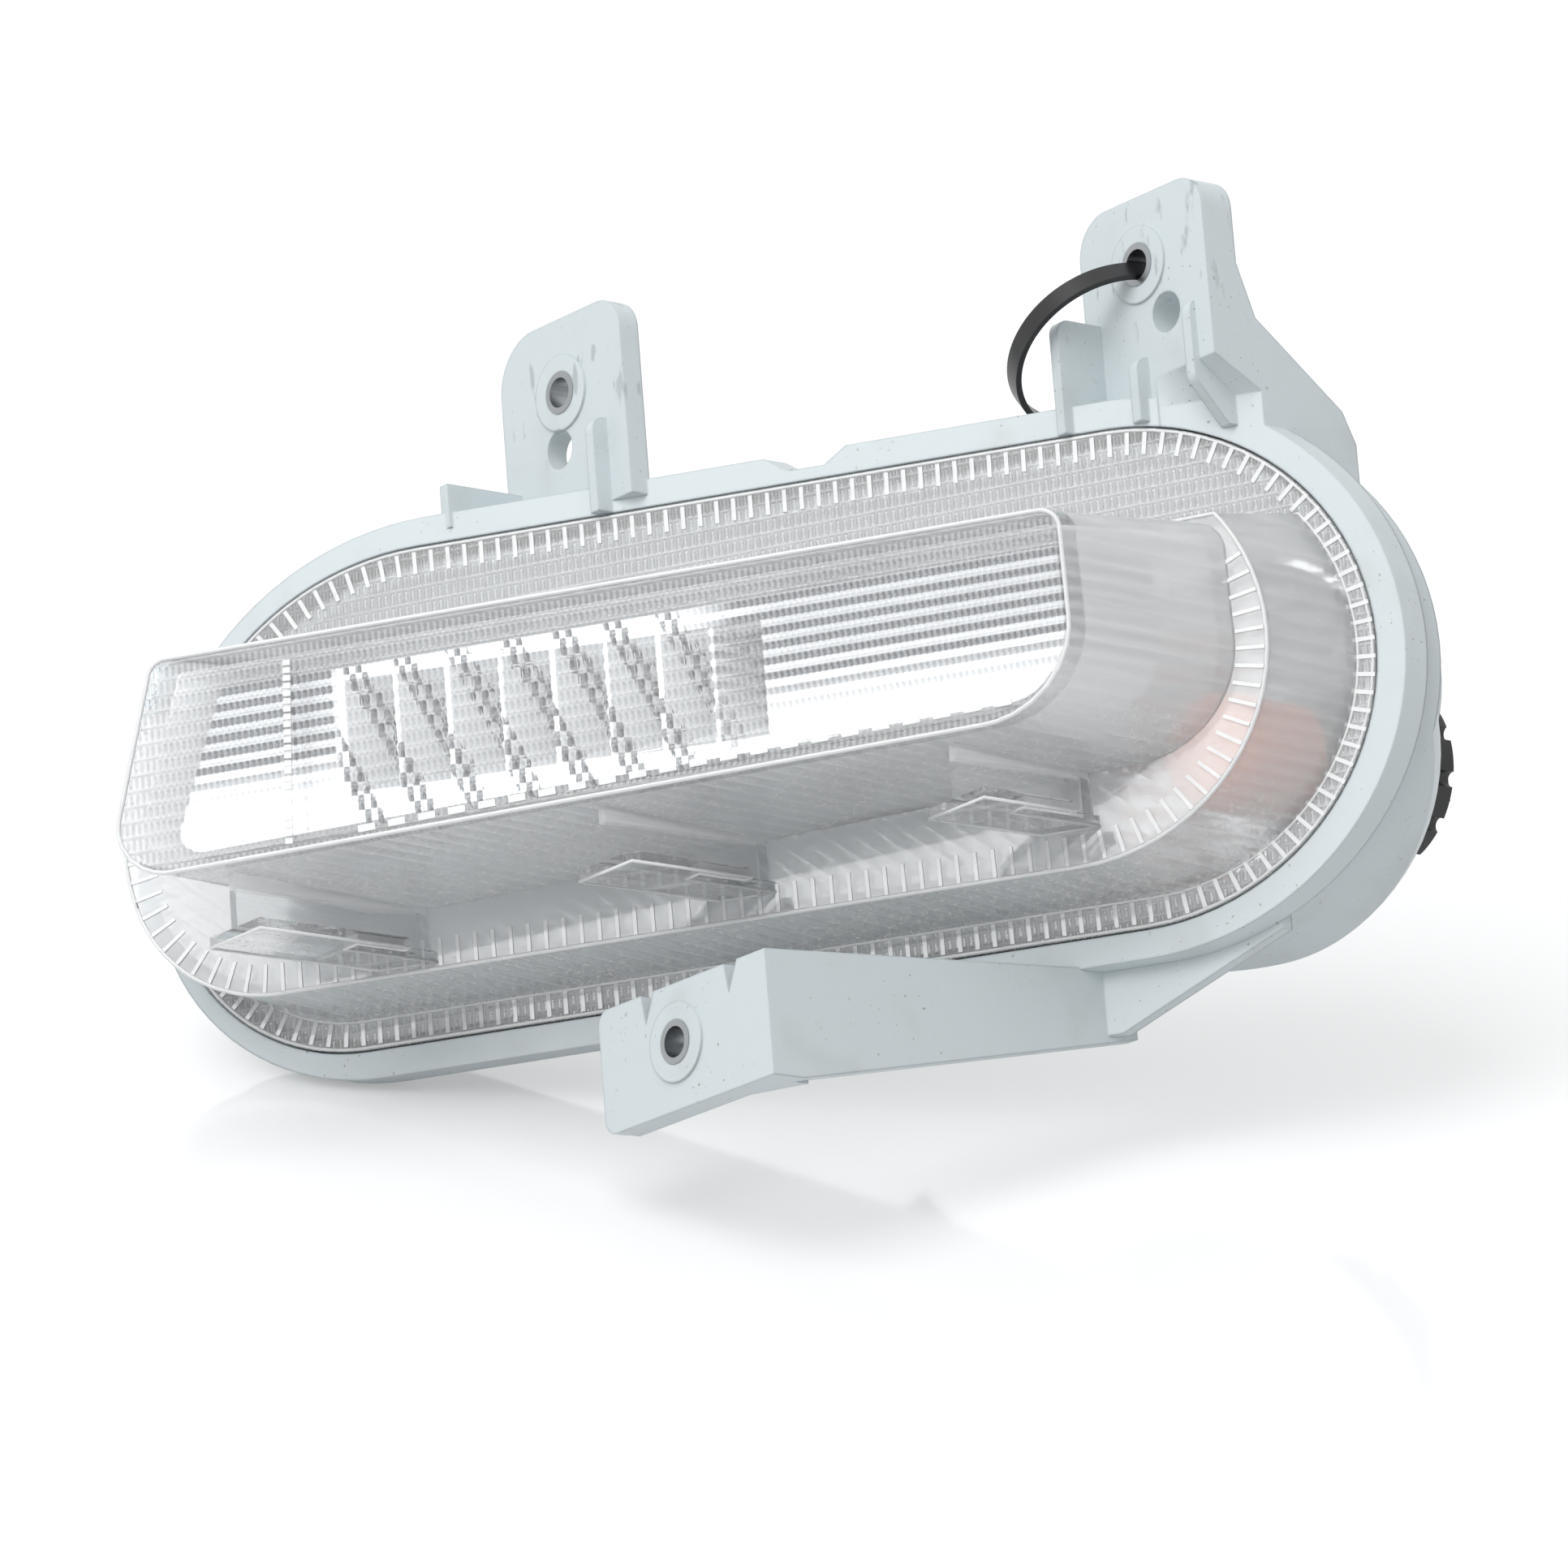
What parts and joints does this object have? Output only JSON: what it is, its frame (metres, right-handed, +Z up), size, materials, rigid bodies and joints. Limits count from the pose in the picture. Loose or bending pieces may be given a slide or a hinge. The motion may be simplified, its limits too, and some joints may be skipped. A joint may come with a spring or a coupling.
{
  "type": "vehicle indicator lamp",
  "caption": "Car front indicator lamp with a clear stepped lens, a grey housing with fixing tabs, a turn bulb in a twist-in holder and an LED light unit",
  "frame": {"origin": "on the axis of the left tab's bolt sleeve, level with the tab's front face", "axes": "X to the right seen from the front of the lamp, Y back along the bolts, Z up"},
  "size_m": [0.2292, 0.2368, 0.1916],
  "materials": {
    "housing_plastic": "satin",
    "clear_lens": "gloss",
    "sealant": "matte",
    "steel": "satin",
    "plated_plastic": "gloss",
    "circuit_board": "satin",
    "led_phosphor": "satin",
    "sink_aluminium": "satin",
    "grey_plastic": "satin",
    "black_plastic": "satin",
    "amber_glass": "gloss",
    "bulb_metal": "satin",
    "rubber": "matte",
    "brass_contacts": "satin",
    "lead_sheath": "matte",
    "black_nylon": "satin"
  },
  "bodies": {
    "lamp": {"housing": "housing_plastic", "lens": "clear_lens", "lens_seal": "sealant", "left_tab_sleeve": "steel", "right_tab_sleeve": "steel", "bracket_sleeve": "steel", "led_reflector": "plated_plastic", "led_board": "circuit_board", "led_chips": "led_phosphor", "heat_sink": "sink_aluminium", "board_screws": "steel", "led_carrier": "grey_plastic", "carrier_screws": "steel", "turn_reflector": "plated_plastic", "led_socket": "black_plastic", "socket_pins": "brass_contacts", "led_lead": "lead_sheath", "vent_cap": "rubber", "cable_tie": "black_nylon"},
    "bulb_unit": {"bulb_holder": "black_plastic", "holder_gasket": "rubber", "amber_bulb": "amber_glass", "bulb_base": "bulb_metal", "holder_contacts": "brass_contacts"}
  },
  "joints": [
    {"name": "bulb_holder_turn", "type": "hinge", "parent": "lamp", "child": "bulb_unit", "pos_m": [0.1091, 0.1175, -0.0985], "axis": [0, 1, 0], "range_deg": [0, 45]}
  ]
}
